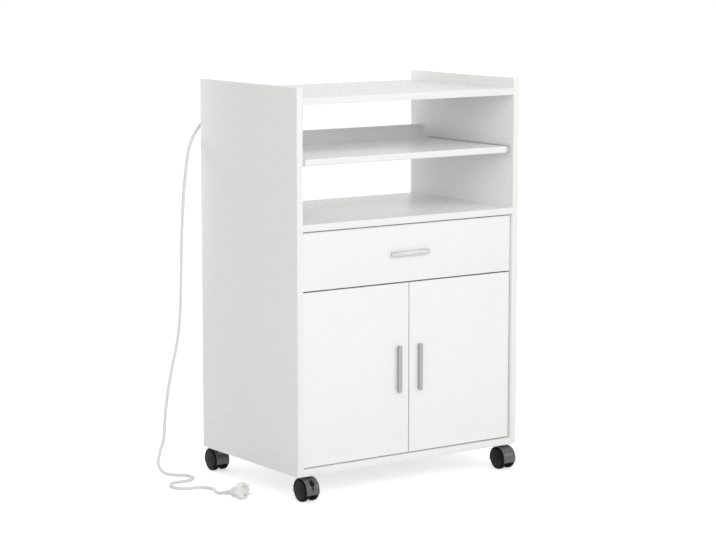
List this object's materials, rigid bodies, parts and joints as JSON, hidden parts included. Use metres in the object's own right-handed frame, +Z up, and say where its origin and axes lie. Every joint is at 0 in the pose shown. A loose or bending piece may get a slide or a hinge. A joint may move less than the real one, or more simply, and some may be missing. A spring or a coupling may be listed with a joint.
{
  "type": "microwave cart",
  "caption": "Rolling kitchen cart: white boards, open compartments with a pull-out shelf, a drawer, two doors, swivel casters, a socket strip and its lead.",
  "frame": {"origin": "on the floor, under the middle of the cart's overall length and depth, measured over the casters", "axes": "+Z up, -Y towards the person who opens the doors, +X to that person's right"},
  "size_m": [0.7534, 0.44, 0.892],
  "materials": {
    "white_board": "white melamine-faced chipboard, smooth satin",
    "white_hardboard": "thin white painted hardboard",
    "satin_metal": "satin",
    "zinc_steel": "zinc plated",
    "black_plastic": "moulded black, half matt",
    "black_tread": "moulded black nylon",
    "white_plastic": "moulded white",
    "contact_brass": "nickel-plated brass pin"
  },
  "bodies": {
    "cart": {"left_side_panel": "white_board", "right_side_panel": "white_board", "top_panel": "white_board", "fixed_shelf": "white_board", "bottom_panel": "white_board", "back_rail": "white_board", "back_panel": "white_hardboard", "shelf_runner_left": "zinc_steel", "shelf_runner_right": "zinc_steel", "drawer_runner_left": "zinc_steel", "drawer_runner_right": "zinc_steel", "left_hinge_arm_lower": "zinc_steel", "left_hinge_arm_upper": "zinc_steel", "right_hinge_arm_lower": "zinc_steel", "right_hinge_arm_upper": "zinc_steel", "front_left_caster_plate": "zinc_steel", "front_right_caster_plate": "zinc_steel", "rear_left_caster_plate": "zinc_steel", "rear_right_caster_plate": "zinc_steel", "socket_strip_base": "white_plastic", "socket_strip_cover": "white_plastic", "socket_strip_gland": "white_plastic", "power_lead": "white_plastic", "plug_strain_relief": "white_plastic", "plug_body": "white_plastic", "plug_prong_lower": "contact_brass", "plug_prong_upper": "contact_brass"},
    "pull_out_shelf": {"pull_out_shelf": "white_board", "shelf_slide_left": "zinc_steel", "shelf_slide_right": "zinc_steel"},
    "drawer": {"drawer_front": "white_board", "drawer_side_left": "white_board", "drawer_side_right": "white_board", "drawer_back": "white_board", "drawer_bottom": "white_hardboard", "drawer_handle": "satin_metal", "drawer_slide_left": "zinc_steel", "drawer_slide_right": "zinc_steel"},
    "left_door": {"left_door": "white_board", "left_door_handle": "satin_metal", "left_hinge_cup_lower": "zinc_steel", "left_hinge_cup_upper": "zinc_steel"},
    "right_door": {"right_door": "white_board", "right_door_handle": "satin_metal", "right_hinge_cup_lower": "zinc_steel", "right_hinge_cup_upper": "zinc_steel"},
    "front_left_caster": {"front_left_caster_hood": "black_plastic"},
    "front_left_wheel_left": {"front_left_wheel_left": "black_tread"},
    "front_left_wheel_right": {"front_left_wheel_right": "black_tread"},
    "front_right_caster": {"front_right_caster_hood": "black_plastic"},
    "front_right_wheel_left": {"front_right_wheel_left": "black_tread"},
    "front_right_wheel_right": {"front_right_wheel_right": "black_tread"},
    "rear_left_caster": {"rear_left_caster_hood": "black_plastic"},
    "rear_left_wheel_left": {"rear_left_wheel_left": "black_tread"},
    "rear_left_wheel_right": {"rear_left_wheel_right": "black_tread"},
    "rear_right_caster": {"rear_right_caster_hood": "black_plastic"},
    "rear_right_wheel_left": {"rear_right_wheel_left": "black_tread"},
    "rear_right_wheel_right": {"rear_right_wheel_right": "black_tread"},
    "front_left_brake": {"front_left_brake_lever": "black_plastic"},
    "rear_right_brake": {"rear_right_brake_lever": "black_plastic"}
  },
  "joints": [
    {"name": "pull_out_shelf_slide", "type": "slide", "parent": "cart", "child": "pull_out_shelf", "axis": [0, -1, 0], "range_m": [0, 0.2]},
    {"name": "drawer_slide", "type": "slide", "parent": "cart", "child": "drawer", "axis": [0, -1, 0], "range_m": [0, 0.25]},
    {"name": "left_door_hinge", "type": "hinge", "parent": "cart", "child": "left_door", "pos_m": [-0.2715, -0.1795, 0.26375], "axis": [0, 0, -1], "range_deg": [0, 95]},
    {"name": "right_door_hinge", "type": "hinge", "parent": "cart", "child": "right_door", "pos_m": [0.2715, -0.1795, 0.26375], "axis": [0, 0, 1], "range_deg": [0, 95]},
    {"name": "front_left_swivel", "type": "hinge", "parent": "cart", "child": "front_left_caster", "pos_m": [-0.271, -0.1665, 0.05], "axis": [0, 0, 1], "continuous": true},
    {"name": "front_left_wheel_left_spin", "type": "hinge", "parent": "front_left_caster", "child": "front_left_wheel_left", "pos_m": [-0.271, -0.1825, 0.025], "axis": [1, 0, 0], "continuous": true},
    {"name": "front_left_wheel_right_spin", "type": "hinge", "parent": "front_left_caster", "child": "front_left_wheel_right", "pos_m": [-0.271, -0.1825, 0.025], "axis": [1, 0, 0], "continuous": true},
    {"name": "front_right_swivel", "type": "hinge", "parent": "cart", "child": "front_right_caster", "pos_m": [0.271, -0.1665, 0.05], "axis": [0, 0, 1], "continuous": true},
    {"name": "front_right_wheel_left_spin", "type": "hinge", "parent": "front_right_caster", "child": "front_right_wheel_left", "pos_m": [0.271, -0.1825, 0.025], "axis": [1, 0, 0], "continuous": true},
    {"name": "front_right_wheel_right_spin", "type": "hinge", "parent": "front_right_caster", "child": "front_right_wheel_right", "pos_m": [0.271, -0.1825, 0.025], "axis": [1, 0, 0], "continuous": true},
    {"name": "rear_left_swivel", "type": "hinge", "parent": "cart", "child": "rear_left_caster", "pos_m": [-0.271, 0.1665, 0.05], "axis": [0, 0, 1], "continuous": true},
    {"name": "rear_left_wheel_left_spin", "type": "hinge", "parent": "rear_left_caster", "child": "rear_left_wheel_left", "pos_m": [-0.271, 0.1825, 0.025], "axis": [1, 0, 0], "continuous": true},
    {"name": "rear_left_wheel_right_spin", "type": "hinge", "parent": "rear_left_caster", "child": "rear_left_wheel_right", "pos_m": [-0.271, 0.1825, 0.025], "axis": [1, 0, 0], "continuous": true},
    {"name": "rear_right_swivel", "type": "hinge", "parent": "cart", "child": "rear_right_caster", "pos_m": [0.271, 0.1665, 0.05], "axis": [0, 0, 1], "continuous": true},
    {"name": "rear_right_wheel_left_spin", "type": "hinge", "parent": "rear_right_caster", "child": "rear_right_wheel_left", "pos_m": [0.271, 0.1825, 0.025], "axis": [1, 0, 0], "continuous": true},
    {"name": "rear_right_wheel_right_spin", "type": "hinge", "parent": "rear_right_caster", "child": "rear_right_wheel_right", "pos_m": [0.271, 0.1825, 0.025], "axis": [1, 0, 0], "continuous": true},
    {"name": "front_left_brake_press", "type": "hinge", "parent": "front_left_caster", "child": "front_left_brake", "pos_m": [-0.271, -0.19744, 0.03753], "axis": [1, 0, 0], "range_deg": [0, 12]},
    {"name": "rear_right_brake_press", "type": "hinge", "parent": "rear_right_caster", "child": "rear_right_brake", "pos_m": [0.271, 0.19744, 0.03753], "axis": [-1, 0, 0], "range_deg": [0, 12]}
  ]
}
